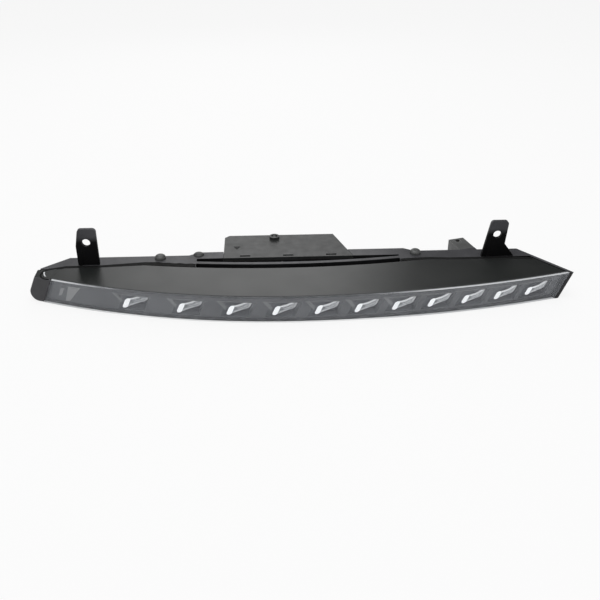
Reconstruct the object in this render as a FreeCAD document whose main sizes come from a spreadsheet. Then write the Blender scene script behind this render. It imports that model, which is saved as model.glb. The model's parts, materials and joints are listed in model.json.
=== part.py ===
import FreeCAD, Part
import os
from math import asin, atan2, cos, degrees, radians, sin, sqrt, tan
from types import SimpleNamespace

import Sketcher

Vector = FreeCAD.Vector

# Driving dimensions in millimetres and degrees.
# The origin is half way between the two fixing holes, the lens faces -Y and +X is to the right.
DIMENSIONS = {
    # Frame of the lamp
    "screw_pitch": 350,         # between the centres of the two fixing holes
    "screw_hole": 7,            # diameter of a fixing hole
    "deck_drop": 21,            # from the screw axis down to the top deck
    "lamp_height": 23,          # from the underside to the top deck
    "bow_reach": 66.2,          # from the screw plane forward to the foremost point of the lens
    "bow_left": 541,            # radius of the bowed front, left of the middle
    "bow_right": 857,           # radius of the bowed front, right of the middle
    "end_rake": 24,             # lean of both ends from upright
    "left_end": 217,            # reach of the left end at the deck
    "right_tip": 234,           # reach of the right tip at the deck
    "right_turn": 37.4,         # turn of the right end in plan
    "fit": 0.25,                # clearance between pieces that are put together
    # Walls
    "floor_wall": 2,
    "panel_wall": 2,
    "lens_wall": 2.5,
    "seal_wall": 1,
    "bezel_wall": 2,
    "end_wall": 3,              # raked wall at the right end
    "bay_wall": 2.5,
    # Rear outline of the housing
    "rim_back": 13,             # back edge of the rim
    "hump_back": 18.5,          # back edge of the rim beside the electronics bay
    "hump_left": 82,
    "hump_right": 98,
    "hump_slope": 9,            # length of the sloping step between the two
    "rim_left": 194,            # left corner of the straight back edge
    "tail_left": 215,           # left end of the rim
    "tail_back": -5.5,
    # Left end cap
    "cap_length": 15,
    "cap_back": 7,
    "cap_corner": 7,
    "tongue_length": 11,
    "tongue_depth": 7,
    "tongue_height": 11,
    # Back edge of the top panel
    "waist_depth": 14,          # lowest point of the curved stretch, forward of the screw plane
    "waist_radius": 709,
    "waist_middle": -7,
    "waist_left": 128,
    "waist_right": 118,
    "groove": 1.2,              # dark gap between the panel and the rim
    "ledge": 4,                 # width of the seat under the panel's back edge
    # Channels behind the panel
    "channel_depth": 10,
    "channel_left": 84,
    "channel_right": 92,
    "front_channel": 7,
    "rail_wall": 4,
    "rib_wall": 1.6,
    "rib_height": 6,
    "rib_pitch": 16,
    "rib_first": 38,
    # Fixing tabs
    "tab_wall": 3,
    "tab_top": 12.5,
    "tab_half": 9,
    "tab_corner": 3,
    "tab_lean": 6,              # how far the side edge of a tab draws in towards the top
    "tab_foot": 7,
    "gusset_wall": 2.5,
    "gusset_depth": 8,
    "gusset_drop": 4,
    # Electronics bay
    "bay_left": 61,
    "bay_right": 52,
    "bay_front": 6.2,
    "bay_back": 51,
    "bay_taper": 14,
    "bay_corner": 4,
    "cover_wall": 2,
    "cover_seal_wall": 1,
    "boss_across": 9,
    "boss_height": 2.5,
    "boss_left": 16,
    "boss_inset": 7,
    "window_width": 9,
    "window_depth": 2.6,
    "post_across": 6,
    "post_height": 4,
    "board_wall": 1.6,
    "board_margin": 4,
    # Fasteners
    "rim_screw_head": 9.5,
    "rim_screw_dome": 3.5,
    "rim_screw_shank": 4,
    "rim_screw_length": 7.5,
    "rim_screw_left": 115.5,
    "rim_screw_right": 107,
    "rim_screw_inset": 4.5,
    "board_screw_head": 4.6,
    "board_screw_shank": 2.5,
    "board_screw_length": 5,
    # Light guides and their light sources
    "optic_count": 11,
    "optic_end_margin": 38.6,   # from the last light guide to the right tip
    "optic_pitch_first": 45,
    "optic_pitch_last": 26.5,
    "optic_pitch_decay": 0.75,
    "optic_rise": 7,            # above the floor of the housing
    "optic_width": 4,
    "optic_height": 8,
    "optic_setback": 0.5,       # behind the bezel's front
    "guide_across": 15,         # run of a light guide to the right
    "guide_depth": 8.5,         # run of a light guide to the back
    "flange_wall": 1,
    "duct_left": 6.5,
    "duct_right": 17.5,
    "duct_below": 5.5,
    "duct_above": 7.5,
    "duct_wall": 1,
    "led_size": 3,
    "led_height": 1.2,
    "led_gap": 1.3,
    "strip_height": 8,
    "spreader_wall": 1.5,
    # Connector
    "plug_turn": 15.5,
    "plug_x": 154.6,
    "plug_width": 14.8,
    "plug_height": 12,
    "plug_length": 21,
    "plug_wall": 1.4,
    "plug_cavity": 15,
    "spigot_length": 6,
    "spigot_inset": 2.4,
    "pin_size": 1,
    "pin_length": 6,
    "pin_pitch": 5,
    "latch_size": 4,
    # Leads and vent
    "ribbon_width": 8,
    "ribbon_wall": 0.5,
    "ribbon_room": 3,
    "lead_across": 2.6,
    "lead_bore": 3.2,
    "lead_y": 10.4,
    "lead_drop": 10,
    "vent_across": 10,
    "vent_stem": 6,
    "vent_cap": 2.5,
    "vent_left": 40,
}

# Lengths that only have to reach past the solid that they cut
BEYOND = 60


class Size:
    """A number together with the sheet formula that gives it."""

    def __init__(self, value, formula=None):
        self.value = float(value)
        self.formula = formula if formula else f"({value})"

    def __add__(self, other):
        other = as_size(other)
        return Size(self.value + other.value, f"({self.formula} + {other.formula})")

    def __radd__(self, other):
        return as_size(other) + self

    def __sub__(self, other):
        other = as_size(other)
        return Size(self.value - other.value, f"({self.formula} - {other.formula})")

    def __rsub__(self, other):
        return as_size(other) - self

    def __mul__(self, other):
        other = as_size(other)
        return Size(self.value * other.value, f"({self.formula} * {other.formula})")

    def __rmul__(self, other):
        return as_size(other) * self

    def __truediv__(self, other):
        other = as_size(other)
        return Size(self.value / other.value, f"({self.formula} / {other.formula})")

    def __neg__(self):
        return Size(-self.value, f"(0 - {self.formula})")


def as_size(number):
    return number if isinstance(number, Size) else Size(number)


def root(length):
    return Size(sqrt(length.value), f"sqrt({length.formula})")


def sine(angle):
    return Size(sin(radians(angle.value)), f"sin({angle.formula})")


def cosine(angle):
    return Size(cos(radians(angle.value)), f"cos({angle.formula})")


def tangent(angle):
    return Size(tan(radians(angle.value)), f"tan({angle.formula})")


def arc_sine(ratio):
    return Size(degrees(asin(ratio.value)), f"asin({ratio.formula})")


def make_sheet(doc):
    """Write the driving dimensions to a sheet and return them as sizes, with the levels that follow."""
    sheet = doc.addObject("Spreadsheet::Sheet", "dims")
    dims = SimpleNamespace()
    for row, (name, value) in enumerate(DIMENSIONS.items(), start=1):
        sheet.set(f"A{row}", name)
        sheet.set(f"B{row}", str(value))
        sheet.setAlias(f"B{row}", name)
        setattr(dims, name, Size(value, f"dims.{name}"))
    doc.recompute()
    dims.deck = -dims.deck_drop
    dims.base = dims.deck - dims.lamp_height
    dims.floor_top = dims.base + dims.floor_wall
    dims.panel_under = dims.deck - dims.panel_wall
    dims.lean = tangent(dims.end_rake)
    dims.front_edge = dims.lens_wall + dims.seal_wall
    dims.bezel_front = dims.front_edge + dims.fit
    dims.bezel_back = dims.bezel_front + dims.bezel_wall + dims.fit
    dims.tip_y = bow_y(dims, dims.right_tip, 0)
    dims.right_end = turned_across(dims, dims.right_tip, dims.tip_y)
    dims.channel_floor = dims.deck - dims.channel_depth
    dims.cover_under = dims.deck - dims.cover_wall
    dims.bay_rim = dims.cover_under - dims.cover_seal_wall
    dims.optic_z = dims.floor_top + dims.optic_rise
    dims.face_depth = dims.bezel_front + dims.optic_setback
    dims.strip_depth = (dims.face_depth + dims.guide_depth + dims.flange_wall + dims.led_gap
                        + dims.led_height)
    dims.plug_y = dims.rim_back + dims.plug_width / 2 * sine(dims.plug_turn) + dims.fit
    dims.board_z = dims.floor_top + dims.post_height
    dims.board_top = dims.board_z + dims.board_wall
    return dims


def bow_y(dims, x, depth, shift=0):
    """Place in plan of the bowed front, set back by depth, at the distance x from the middle."""
    across = as_size(x) - shift
    radius = dims.bow_left if across.value < 0 else dims.bow_right
    inner = radius - depth
    return radius - dims.bow_reach - root(inner * inner - across * across)


def waist_y(dims, x, back=0):
    """Place in plan of the panel's curved back edge at x, moved back by a distance."""
    across = as_size(x) - dims.waist_middle
    return dims.waist_radius - dims.waist_depth - root(
        dims.waist_radius * dims.waist_radius - across * across) + back


def turned_across(dims, x, y):
    """Distance of a plan point across the turned right end."""
    return x * cosine(dims.right_turn) + y * sine(dims.right_turn)


def end_x(dims, end, y):
    """Place of the turned right end at y, given its distance across."""
    return (end - y * sine(dims.right_turn)) / cosine(dims.right_turn)


def bind(thing, path, amount):
    thing.setExpression(path, as_size(amount).formula)


def new_body(doc, name):
    body = doc.addObject("PartDesign::Body", name)
    body.Label = name
    return body


def new_sketch(body, name, plane, level=0, at=(0, 0), turn=0):
    """Sketch on one of the body's origin planes, moved along its normal and turned about the upright."""
    sketch = body.newObject("Sketcher::SketchObject", f"{body.Name}_{name}")
    support = next(item for item in body.Origin.OriginFeatures if item.Role == plane)
    sketch.AttachmentSupport = [(support, "")]
    sketch.MapMode = "FlatFace"
    upright = Vector(0, 0, 1) if plane == "XY_Plane" else Vector(0, 1, 0)
    sketch.AttachmentOffset = FreeCAD.Placement(
        Vector(), FreeCAD.Rotation(upright, as_size(turn).value or 1))
    place = [at[0], at[1], level]
    if plane == "XZ_Plane":
        place = [at[0] + level * sine(as_size(turn)), at[1], level * cosine(as_size(turn))]
    for axis, distance in zip("xyz", place):
        bind(sketch, f"AttachmentOffset.Base.{axis}", distance)
    bind(sketch, "AttachmentOffset.Rotation.Angle", turn)
    return sketch


def arc_between(start, end, radius):
    """Arc from start to end with its centre on the +Y side, and whether it runs the other way round."""
    chord = end - start
    half = chord.Length / 2
    normal = Vector(-chord.y, chord.x, 0).normalize()
    if normal.y < 0:
        normal = -normal
    centre = (start + end) * 0.5 + normal * sqrt(radius * radius - half * half)
    first = atan2(start.y - centre.y, start.x - centre.x)
    last = atan2(end.y - centre.y, end.x - centre.x)
    circle = Part.Circle(centre, Vector(0, 0, 1), radius)
    if first < last:
        return Part.ArcOfCircle(circle, first, last), False
    return Part.ArcOfCircle(circle, last, first), True


def outline(sketch, corners, arcs=None):
    """Closed outline through the corners, whose sides are straight or, where arcs says so, round."""
    arcs = arcs or {}
    corners = [(as_size(x), as_size(y)) for x, y in corners]
    first = sketch.GeometryCount
    ends = []
    for number, (x, y) in enumerate(corners):
        next_x, next_y = corners[(number + 1) % len(corners)]
        start = Vector(x.value, y.value, 0)
        end = Vector(next_x.value, next_y.value, 0)
        side, turned = Part.LineSegment(start, end), False
        if number in arcs:
            side, turned = arc_between(start, end, arcs[number].value)
        sketch.addGeometry(side, False)
        ends.append((2, 1) if turned else (1, 2))
    rules = []
    amounts = {}
    known = sketch.ConstraintCount
    for number, (start, end) in enumerate(ends):
        following = (number + 1) % len(corners)
        rules.append(Sketcher.Constraint(
            "Coincident", first + number, end, first + following, ends[following][0]))
    for number, corner in enumerate(corners):
        for kind, amount in zip(("DistanceX", "DistanceY"), corner):
            amounts[known + len(rules)] = amount
            rules.append(Sketcher.Constraint(kind, -1, 1, first + number, ends[number][0], amount.value))
    for number, radius in arcs.items():
        amounts[known + len(rules)] = radius
        rules.append(Sketcher.Constraint("Radius", first + number, radius.value))
    sketch.addConstraint(rules)
    for index, amount in amounts.items():
        bind(sketch, f"Constraints[{index}]", amount)


def rectangle(sketch, left, right, low, high):
    outline(sketch, [(left, low), (right, low), (right, high), (left, high)])


def circle(sketch, x, y, across):
    x, y, across = as_size(x), as_size(y), as_size(across)
    number = sketch.GeometryCount
    sketch.addGeometry(Part.Circle(Vector(x.value, y.value, 0), Vector(0, 0, 1), across.value / 2), False)
    known = sketch.ConstraintCount
    sketch.addConstraint([
        Sketcher.Constraint("DistanceX", -1, 1, number, 3, x.value),
        Sketcher.Constraint("DistanceY", -1, 1, number, 3, y.value),
        Sketcher.Constraint("Diameter", number, across.value),
    ])
    for index, amount in enumerate((x, y, across)):
        bind(sketch, f"Constraints[{known + index}]", amount)


def extrude(body, kind, sketch, length=None, reverse=False, both=False, along=None):
    """Pad or Pocket of a sketch; without a length a pocket goes through everything."""
    feature = body.newObject(f"PartDesign::{kind}", f"{sketch.Name}_{kind.lower()}")
    feature.Profile = sketch
    if length is None:
        feature.Type = "ThroughAll"
    else:
        bind(feature, "Length", length)
    if both:
        feature.SideType = "Symmetric"
    feature.Reversed = reverse
    if along:
        feature.UseCustomVector = True
        feature.Direction = Vector(*[as_size(part).value for part in along])
        for axis, part in zip("xyz", along):
            bind(feature, f"Direction.{axis}", part)
        feature.AlongSketchNormal = True
    return feature


def round_edges(body, radius, chosen):
    """Fillet the edges of the body's last feature that the test picks out."""
    body.Document.recompute()
    base = body.Tip
    names = [f"Edge{number}" for number, edge in enumerate(base.Shape.Edges, start=1) if chosen(edge)]
    fillet = body.newObject("PartDesign::Fillet", f"{body.Name}_{base.Name}_fillet")
    fillet.Base = (base, names)
    bind(fillet, "Radius", radius)
    return fillet


def runs_along(edge, axis):
    """Whether an edge is straight and lies along the axis."""
    if len(edge.Vertexes) < 2:
        return False
    way = edge.Vertexes[1].Point - edge.Vertexes[0].Point
    return way.Length > 0 and abs(way.normalize().dot(axis)) > 0.999


def bow_front(dims, depth, left, right):
    """Corners and round sides of an outline's front, along the bow from left to right."""
    corners = [
        (left, bow_y(dims, left, depth)),
        (0, depth - dims.bow_reach),
        (right, bow_y(dims, right, depth)),
    ]
    return corners, {0: dims.bow_left - depth, 1: dims.bow_right - depth}


def bow_band(sketch, dims, front, back, left, right, shift=0):
    """Strip between two set-backs from the bow, which may be moved to the right as a whole."""
    corners = [
        (left, bow_y(dims, left, front, shift)),
        (shift, front - dims.bow_reach),
        (right, bow_y(dims, right, front, shift)),
        (right, bow_y(dims, right, back, shift)),
        (shift, back - dims.bow_reach),
        (left, bow_y(dims, left, back, shift)),
    ]
    arcs = {
        0: dims.bow_left - front,
        1: dims.bow_right - front,
        3: dims.bow_right - back,
        4: dims.bow_left - back,
    }
    outline(sketch, corners, arcs)


def raked(dims, start, level):
    """Place of a raked end at a level, given its place at the deck."""
    return start + (level - dims.deck) * dims.lean


def trim_left(body, dims, inset):
    """Cut the body off along the raked left end, at an inset from it."""
    sketch = new_sketch(body, "left_trim", "XZ_Plane")
    start = inset - dims.left_end
    low, high = dims.base - dims.fit, dims.deck + dims.fit
    outline(sketch, [
        (raked(dims, start, low), low),
        (raked(dims, start, high), high),
        (start - BEYOND, high),
        (start - BEYOND, low),
    ])
    return extrude(body, "Pocket", sketch, both=True)


def trim_right(body, dims, inset):
    """Cut the body off along the raked and turned right end, at an inset from it."""
    sketch = new_sketch(body, "right_trim", "XZ_Plane", turn=dims.right_turn)
    start = dims.right_end - inset
    low, high = dims.base - dims.fit, dims.deck + dims.fit
    outline(sketch, [
        (raked(dims, start, low), low),
        (start + BEYOND, low),
        (start + BEYOND, high),
        (raked(dims, start, high), high),
    ])
    return extrude(body, "Pocket", sketch, both=True)


def trim_front(body, dims, depth):
    """Cut away what stands in front of the bow at a set-back."""
    sketch = new_sketch(body, "front_trim", "XY_Plane")
    corners, arcs = bow_front(dims, depth, -dims.left_end - BEYOND / 2, dims.right_tip + BEYOND / 2)
    corners += [
        (dims.right_tip + BEYOND / 2, -dims.bow_reach - BEYOND),
        (-dims.left_end - BEYOND / 2, -dims.bow_reach - BEYOND),
    ]
    outline(sketch, corners, arcs)
    return extrude(body, "Pocket", sketch, both=True)


def bay_slope(dims, y):
    """Place of the bay's slanted right side at y."""
    return dims.bay_right - dims.bay_taper * (y - dims.bay_front) / (dims.bay_back - dims.bay_front)


def bay_plan(dims, inset):
    """Corners of the bay, inset from its outline."""
    corner = dims.bay_corner
    return [
        (inset - dims.bay_left, dims.bay_front + inset),
        (bay_slope(dims, dims.bay_front + inset) - inset, dims.bay_front + inset),
        (bay_slope(dims, dims.bay_back - inset) - inset, dims.bay_back - inset),
        (inset + corner - dims.bay_left, dims.bay_back - inset),
        (inset - dims.bay_left, dims.bay_back - inset - corner),
    ]


def housing_plan(dims, front):
    """Outline of the housing in plan, with its front set back from the lens."""
    corners, arcs = bow_front(dims, front, -dims.tail_left, dims.right_tip)
    corners += [
        (dims.right_tip, dims.rim_back),
        (dims.hump_right + dims.hump_slope, dims.rim_back),
        (dims.hump_right, dims.hump_back),
        (bay_slope(dims, dims.hump_back), dims.hump_back),
        (bay_slope(dims, dims.bay_back), dims.bay_back),
        (dims.bay_corner - dims.bay_left, dims.bay_back),
        (-dims.bay_left, dims.bay_back - dims.bay_corner),
        (-dims.bay_left, dims.hump_back),
        (-dims.hump_left, dims.hump_back),
        (-dims.hump_left - dims.hump_slope, dims.rim_back),
        (-dims.rim_left, dims.rim_back),
        (-dims.tail_left, dims.tail_back),
    ]
    return corners, arcs


def panel_back(dims, back):
    """Corners of the panel's back edge from right to left, moved back; the third side is round."""
    slope = dims.waist_depth / 2
    return [
        (dims.right_tip, waist_y(dims, dims.waist_right, back) - slope),
        (dims.screw_pitch / 2 + slope, waist_y(dims, dims.waist_right, back)),
        (dims.waist_right, waist_y(dims, dims.waist_right, back)),
        (-dims.waist_left, waist_y(dims, -dims.waist_left, back)),
        (-dims.rim_left, waist_y(dims, -dims.waist_left, back)),
        (-dims.tail_left, waist_y(dims, -dims.waist_left, back) - slope),
    ]


def panel_plan(dims, front, back):
    corners, arcs = bow_front(dims, front, -dims.tail_left, dims.right_tip)
    arcs[len(corners) + 2] = dims.waist_radius
    return corners + panel_back(dims, back), arcs


def optic_places(dims):
    """Centres of the light guides' front faces in plan, from left to right."""
    places = [dims.right_tip - dims.optic_end_margin]
    count = int(dims.optic_count.value)
    for number in range(count - 2, -1, -1):
        spread = dims.optic_pitch_first - dims.optic_pitch_last
        pitch = dims.optic_pitch_last
        decay = as_size(1)
        for step in range(number):
            decay = decay * dims.optic_pitch_decay
        pitch = pitch + spread * decay
        places.insert(0, places[0] - pitch)
    return [(x, bow_y(dims, x, dims.face_depth)) for x in places]


def rim_screw_places(dims):
    return [
        (-dims.rim_screw_left, dims.rim_back - dims.rim_screw_inset),
        (dims.rim_screw_right, dims.rim_back - dims.rim_screw_inset),
    ]


def board_plan(dims):
    """Left, right, front and back of the regulator's board in the bay."""
    inset = dims.bay_wall + dims.board_margin
    right = bay_slope(dims, dims.bay_back) - inset
    return inset - dims.bay_left, right, dims.bay_front + inset, dims.bay_back - inset


def post_places(dims):
    """Centres of the posts under the corners of the regulator's board."""
    left, right, front, back = board_plan(dims)
    inset = dims.post_across / 2 + dims.fit
    return [(x, y) for x in (left + inset, right - inset) for y in (front + inset, back - inset)]


def boss_place(dims):
    return -dims.boss_left, dims.bay_back - dims.boss_inset


def make_housing(doc, dims):
    """Tray, rim, channels, bay and connector seat with the two fixing tabs, moulded as one piece."""
    body = new_body(doc, "housing")

    # Floor plate, and the block above it that stands back behind the bezel
    sketch = new_sketch(body, "floor", "XY_Plane", dims.base)
    outline(sketch, *housing_plan(dims, dims.front_edge))
    extrude(body, "Pad", sketch, dims.floor_wall)
    sketch = new_sketch(body, "block", "XY_Plane", dims.floor_top)
    outline(sketch, *housing_plan(dims, dims.bezel_back))
    extrude(body, "Pad", sketch, dims.lamp_height - dims.floor_wall)

    # Raked wall at the right end, flush with the lens
    start = dims.right_end - dims.end_wall
    wall_back = dims.right_tip * sine(dims.right_turn) - dims.rim_back
    sketch = new_sketch(body, "end_wall", "XZ_Plane", wall_back - BEYOND / 4, turn=dims.right_turn)
    outline(sketch, [
        (raked(dims, start, dims.base), dims.base),
        (raked(dims, dims.right_end, dims.base), dims.base),
        (dims.right_end, dims.deck),
        (start, dims.deck),
    ])
    extrude(body, "Pad", sketch, BEYOND)
    trim_right(body, dims, 0)
    trim_front(body, dims, 0)

    # Room for the end cap, and the tongue that carries it
    start = dims.cap_length - dims.left_end
    sketch = new_sketch(body, "cap_room", "XZ_Plane", dims.cap_back)
    low, high = dims.base - dims.fit, dims.deck + dims.fit
    outline(sketch, [
        (raked(dims, start, low), low),
        (raked(dims, start, high), high),
        (start - BEYOND, high),
        (start - BEYOND, low),
    ])
    extrude(body, "Pocket", sketch, reverse=True)
    left, right, front, back, low, high = tongue(dims)
    sketch = new_sketch(body, "tongue", "XY_Plane", low)
    rectangle(sketch, left, right, front, back)
    extrude(body, "Pad", sketch, high - low)

    # Light chamber, open to the front and to the top
    sketch = new_sketch(body, "chamber", "XY_Plane", dims.floor_top)
    far = -dims.bow_reach - BEYOND
    left = start + dims.bay_wall
    end = raked(dims, dims.right_end, dims.floor_top) - dims.end_wall
    edge = panel_back(dims, -dims.ledge)
    outline(sketch, [
        (left, far),
        (end_x(dims, end, far), far),
        (end_x(dims, end, edge[1][1]), edge[1][1]),
        edge[2],
        edge[3],
        edge[4],
        (left, edge[5][1]),
    ], {3: dims.waist_radius})
    extrude(body, "Pocket", sketch, reverse=True)

    back = (dims.right_end * sine(dims.right_turn) - edge[5][1]) / cosine(dims.right_turn)
    sketch = new_sketch(body, "chamber_end", "XZ_Plane", back, turn=dims.right_turn)
    start = dims.right_end - dims.end_wall
    outline(sketch, [
        (end - dims.end_wall, dims.floor_top),
        (raked(dims, start, dims.floor_top), dims.floor_top),
        (raked(dims, start, dims.deck + dims.fit), dims.deck + dims.fit),
        (end - dims.end_wall, dims.deck + dims.fit),
    ])
    extrude(body, "Pocket", sketch, reverse=True)

    # Recess for the top panel, with the groove along its back edge
    sketch = new_sketch(body, "panel_recess", "XY_Plane", dims.panel_under)
    end = dims.right_end - dims.end_wall
    edge = panel_back(dims, dims.groove)
    outline(sketch, [
        (-dims.tail_left, far),
        (end_x(dims, end, far), far),
        (end_x(dims, end, edge[1][1]), edge[1][1]),
        *edge[2:],
    ], {3: dims.waist_radius})
    extrude(body, "Pocket", sketch, reverse=True)

    # Channels behind the panel on both sides of the curved rail, with cross ribs in the rear one
    rail_front = dims.front_channel
    rail_back = dims.front_channel + dims.rail_wall
    left, right = -dims.channel_left, dims.channel_right
    sketch = new_sketch(body, "front_channel", "XY_Plane", dims.channel_floor)
    outline(sketch, [
        (left, waist_y(dims, left)),
        (right, waist_y(dims, right)),
        (right, waist_y(dims, right, rail_front)),
        (left, waist_y(dims, left, rail_front)),
    ], {0: dims.waist_radius, 2: dims.waist_radius})
    extrude(body, "Pocket", sketch, reverse=True)
    sketch = new_sketch(body, "rear_channel", "XY_Plane", dims.channel_floor)
    outline(sketch, [
        (left, waist_y(dims, left, rail_back)),
        (right, waist_y(dims, right, rail_back)),
        (right, dims.bay_front),
        (left, dims.bay_front),
    ], {0: dims.waist_radius})
    extrude(body, "Pocket", sketch, reverse=True)
    ribs = [dims.rib_first + dims.rib_pitch * step for step in (-6, -3, 0, 1, 2)]
    sketch = new_sketch(body, "cross_ribs", "XY_Plane", dims.channel_floor)
    for x in ribs:
        rectangle(sketch, x - dims.rib_wall / 2, x + dims.rib_wall / 2,
                  waist_y(dims, x, rail_front + dims.rail_wall / 2), dims.bay_front + dims.fit)
    extrude(body, "Pad", sketch, dims.rib_height)

    # Electronics bay with its seal ledge and the posts under the board
    sketch = new_sketch(body, "cover_recess", "XY_Plane", dims.bay_rim)
    outline(sketch, bay_plan(dims, -dims.fit))
    extrude(body, "Pocket", sketch, reverse=True)
    sketch = new_sketch(body, "bay", "XY_Plane", dims.floor_top)
    outline(sketch, bay_plan(dims, dims.bay_wall))
    extrude(body, "Pocket", sketch, reverse=True)
    sketch = new_sketch(body, "posts", "XY_Plane", dims.floor_top)
    for x, y in post_places(dims):
        circle(sketch, x, y, dims.post_across)
    extrude(body, "Pad", sketch, dims.post_height)
    sketch = new_sketch(body, "post_holes", "XY_Plane", dims.board_z)
    for x, y in post_places(dims):
        circle(sketch, x, y, dims.board_screw_shank + dims.fit)
    extrude(body, "Pocket", sketch, dims.board_screw_length - dims.board_wall)

    # Column that takes the cover's screw
    sketch = new_sketch(body, "cover_column", "XY_Plane", dims.floor_top)
    circle(sketch, *boss_place(dims), dims.boss_across - 2 * dims.fit)
    extrude(body, "Pad", sketch, dims.bay_rim - dims.floor_top)

    # Seat for the connector
    place = dims.plug_x, dims.plug_y
    half = dims.plug_width / 2
    sketch = new_sketch(body, "plug_seat", "XY_Plane", dims.deck, at=place, turn=dims.plug_turn)
    rectangle(sketch, -half, half, -2 * dims.spigot_length, 0)
    extrude(body, "Pad", sketch, dims.plug_height, reverse=True)
    spigot_drop = dims.spigot_inset - dims.fit
    sketch = new_sketch(body, "spigot_hole", "XY_Plane", dims.deck - spigot_drop, at=place,
                        turn=dims.plug_turn)
    half = half - spigot_drop
    rectangle(sketch, -half, half, -dims.spigot_length - dims.fit, dims.fit)
    extrude(body, "Pocket", sketch, dims.plug_height - 2 * spigot_drop)

    # Ways for the two leads, the vent and the screws
    middle = dims.board_top + dims.ribbon_wall / 2
    sketch = new_sketch(body, "ribbon_way", "XZ_Plane", -dims.bay_front - 2 * dims.bay_wall)
    rectangle(sketch, -dims.ribbon_width, dims.ribbon_width / 2, middle - dims.ribbon_room / 2,
              middle + dims.ribbon_room / 2)
    extrude(body, "Pocket", sketch, dims.waist_depth + dims.bay_front + 4 * dims.bay_wall, reverse=True)
    sketch = new_sketch(body, "lead_way", "YZ_Plane", bay_slope(dims, dims.lead_y) - 2 * dims.bay_wall)
    circle(sketch, dims.lead_y, dims.deck - dims.lead_drop, dims.lead_bore)
    way = dims.plug_x - dims.plug_width / 2 + dims.plug_wall - bay_slope(dims, dims.lead_y)
    extrude(body, "Pocket", sketch, way + 3 * dims.bay_wall, reverse=True)
    sketch = new_sketch(body, "vent_hole", "XZ_Plane", -dims.bay_back + 2 * dims.bay_wall)
    circle(sketch, -dims.vent_left, (dims.bay_rim + dims.base) / 2, dims.vent_stem + dims.fit)
    extrude(body, "Pocket", sketch, 3 * dims.bay_wall)
    sketch = new_sketch(body, "screw_holes", "XY_Plane", dims.deck)
    for x, y in rim_screw_places(dims):
        circle(sketch, x, y, dims.rim_screw_shank + dims.fit)
    extrude(body, "Pocket", sketch, dims.rim_screw_length + dims.fit)
    sketch = new_sketch(body, "column_hole", "XY_Plane", dims.bay_rim)
    circle(sketch, *boss_place(dims), dims.rim_screw_shank + dims.fit)
    extrude(body, "Pocket", sketch, dims.rim_screw_length + dims.fit)

    add_tabs(body, dims)
    return body


def tongue(dims):
    """Left, right, front, back, low and high of the tongue that carries the end cap."""
    right = dims.cap_length - dims.left_end + dims.fit
    left = right - dims.tongue_length
    back = -dims.cap_back - dims.lens_wall
    middle = dims.deck - dims.lamp_height / 2
    return (left, right, back - dims.tongue_depth, back, middle - dims.tongue_height / 2,
            middle + dims.tongue_height / 2)


def add_tabs(body, dims):
    """Upright fixing tabs with rounded tops, feet and gussets; both lean a little to the right."""
    hole_x = dims.screw_pitch / 2
    foot = dims.deck - dims.panel_wall / 2
    half = dims.tab_half
    shapes = {
        "left": (-hole_x, [(-half, foot), (half, foot), (half, dims.tab_top),
                           (dims.tab_lean / 2 - half, dims.tab_top), (-half, -dims.tab_lean / 2)]),
        "right": (hole_x, [(-half - dims.tab_lean / 2, foot), (half + dims.tab_foot, foot),
                           (half + dims.tab_foot, dims.deck + dims.panel_wall / 2),
                           (half - dims.tab_lean / 4, -half), (half, dims.tab_top),
                           (dims.tab_lean / 2 - half, dims.tab_top)]),
    }
    for side, (x, corners) in shapes.items():
        sketch = new_sketch(body, f"{side}_tab", "XZ_Plane")
        outline(sketch, [(x + across, level) for across, level in corners])
        extrude(body, "Pad", sketch, dims.tab_wall, both=True)
        sketch = new_sketch(body, f"{side}_gusset", "YZ_Plane", x - half + dims.tab_lean / 4)
        back = dims.tab_wall / 2
        outline(sketch, [
            (-back - dims.groove / 2, foot),
            (back + dims.gusset_depth, foot),
            (back + dims.gusset_depth, dims.deck + dims.panel_wall / 2),
            (back, -dims.gusset_drop),
            (-back, -dims.gusset_drop),
            (-back - dims.groove / 2, dims.deck + dims.panel_wall / 2),
        ])
        extrude(body, "Pad", sketch, dims.gusset_wall)
        sketch = new_sketch(body, f"{side}_hole", "XZ_Plane")
        circle(sketch, x, 0, dims.screw_hole)
        extrude(body, "Pocket", sketch, 2 * dims.tab_wall, both=True)
    level = dims.tab_top.value
    round_edges(body, dims.tab_corner, lambda edge: runs_along(edge, Vector(0, 1, 0))
                and abs(edge.CenterOfMass.z - level) < 0.01)


def make_top_panel(doc, dims):
    """Smooth panel that closes the light chamber from above."""
    body = new_body(doc, "top_panel")
    sketch = new_sketch(body, "plate", "XY_Plane", dims.panel_under)
    outline(sketch, *panel_plan(dims, dims.front_edge, 0))
    extrude(body, "Pad", sketch, dims.panel_wall)
    trim_left(body, dims, dims.cap_length + dims.fit)
    trim_right(body, dims, dims.end_wall + dims.fit + dims.panel_wall * dims.lean)
    return body


def make_lens(doc, dims):
    """Clear bowed strip with raked ends."""
    body = new_body(doc, "lens")
    sketch = new_sketch(body, "strip", "XY_Plane", dims.base)
    bow_band(sketch, dims, as_size(0), dims.lens_wall, -dims.left_end - dims.cap_length,
             dims.right_tip + dims.cap_length)
    extrude(body, "Pad", sketch, dims.lamp_height)
    trim_left(body, dims, dims.cap_length + dims.fit)
    trim_right(body, dims, dims.end_wall + dims.fit)
    return body


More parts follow.
